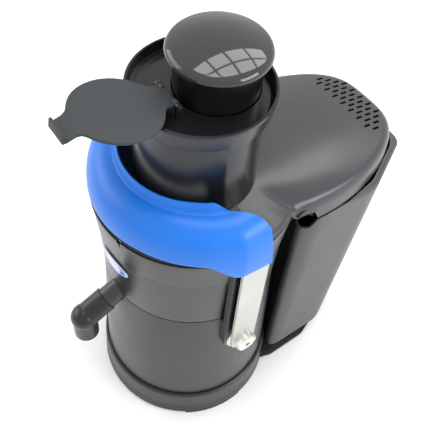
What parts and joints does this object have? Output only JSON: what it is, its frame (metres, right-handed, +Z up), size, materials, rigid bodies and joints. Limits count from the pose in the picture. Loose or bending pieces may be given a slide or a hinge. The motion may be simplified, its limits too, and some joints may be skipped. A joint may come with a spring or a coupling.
{
  "type": "centrifugal juicer",
  "caption": "Countertop centrifugal juicer: round motor base and juice bowl with a swivel spout, locking bail with hood, wide feed chute with pusher and flap, and rear pulp bin.",
  "frame": {"origin": "under the middle of the whole machine's footprint, on the bench", "axes": "+Z up; -Y is the front, where the spout is; +Y is the back, where the pulp bin is; the drive axis stands at y = -0.04775 m"},
  "size_m": [0.2322, 0.3905, 0.5031],
  "materials": {
    "charcoal_shell": "satin, fine moulded grain",
    "satin_black": "satin, fine moulded grain",
    "black_plate": "matte",
    "matte_grey": "matte, fine grain",
    "gloss_black": "high gloss",
    "blue_hood": "semi gloss moulded",
    "black_rubber": "matte",
    "grey_silicone": "matte",
    "plated_steel": "satin plated",
    "arm_steel": "brushed lengthwise",
    "lamination_steel": "stacked laminations",
    "cast_alloy": "as cast",
    "copper_winding": "varnished wire",
    "bronze_bush": "sintered",
    "ivory_plastic": "matte",
    "board_green": "satin",
    "green_plastic": "gloss",
    "badge_face": "satin plaque"
  },
  "bodies": {
    "machine": {"base_skirt": "satin_black", "base_plate": "black_plate", "base_plate_screws": "plated_steel", "rubber_feet": "black_rubber", "bin_support_plate": "satin_black", "support_plate_screws": "plated_steel", "cord_gland": "black_rubber", "motor_housing": "charcoal_shell", "stator_core": "lamination_steel", "stator_windings": "copper_winding", "lower_bearing": "plated_steel", "upper_bearing": "plated_steel", "lower_end_bell": "cast_alloy", "upper_end_bell": "cast_alloy", "motor_tie_bolts": "plated_steel", "shaft_seal": "black_rubber", "run_capacitor": "ivory_plastic", "terminal_block": "ivory_plastic", "control_board": "board_green", "interlock_switch": "satin_black", "switch_frame": "satin_black", "pivot_bushes": "bronze_bush", "juice_bowl": "charcoal_shell", "bowl_gasket": "grey_silicone", "spout_o_ring": "black_rubber", "chute_lid": "charcoal_shell", "lid_hinge_pin": "satin_black", "pulp_cover": "charcoal_shell", "front_badge": "badge_face"},
    "drive_train": {"rotor_core": "lamination_steel", "motor_shaft": "plated_steel", "cooling_fan": "satin_black", "drive_hub": "cast_alloy", "strainer_basket": "arm_steel", "basket_rim": "arm_steel", "grating_disc": "arm_steel", "disc_teeth": "arm_steel", "basket_nut": "arm_steel"},
    "bail": {"bail_hood": "blue_hood", "bail_arm_right": "arm_steel", "bail_arm_left": "arm_steel", "pivot_bolts": "plated_steel", "pivot_washers": "plated_steel", "hood_screws": "plated_steel", "interlock_cam": "ivory_plastic"},
    "feed_flap": {"feed_lid": "matte_grey"},
    "pusher": {"pusher_barrel": "charcoal_shell", "pusher_cap": "gloss_black"},
    "spout": {"spout_elbow": "charcoal_shell"},
    "bin": {"pulp_bin": "satin_black"},
    "rocker": {"switch_rocker": "green_plastic"}
  },
  "joints": [
    {"name": "drive_spin", "type": "hinge", "parent": "machine", "child": "drive_train", "pos_m": [0, -0.04775, 0.1], "axis": [0, 0, 1], "continuous": true},
    {"name": "bail_swing", "type": "hinge", "parent": "machine", "child": "bail", "pos_m": [0, -0.05075, 0.18], "axis": [1, 0, 0], "range_deg": [0, 95]},
    {"name": "feed_lid_hinge", "type": "hinge", "parent": "machine", "child": "feed_flap", "pos_m": [0, -0.07875, 0.46], "axis": [1, 0, 0], "range_deg": [-80, 0]},
    {"name": "pusher_slide", "type": "slide", "parent": "machine", "child": "pusher", "axis": [0, 0, 1], "range_m": [-0.022, 0.11]},
    {"name": "spout_swivel", "type": "hinge", "parent": "machine", "child": "spout", "pos_m": [0, -0.14075, 0.211], "axis": [0, -0.9063, -0.4226], "range_deg": [-90, 90]},
    {"name": "bin_slide", "type": "slide", "parent": "machine", "child": "bin", "axis": [0, 1, 0], "range_m": [0, 0.25]},
    {"name": "switch_rock", "type": "hinge", "parent": "machine", "child": "rocker", "pos_m": [-0.0945, -0.04775, 0.112], "axis": [0, 1, 0], "range_deg": [-12, 0]}
  ]
}
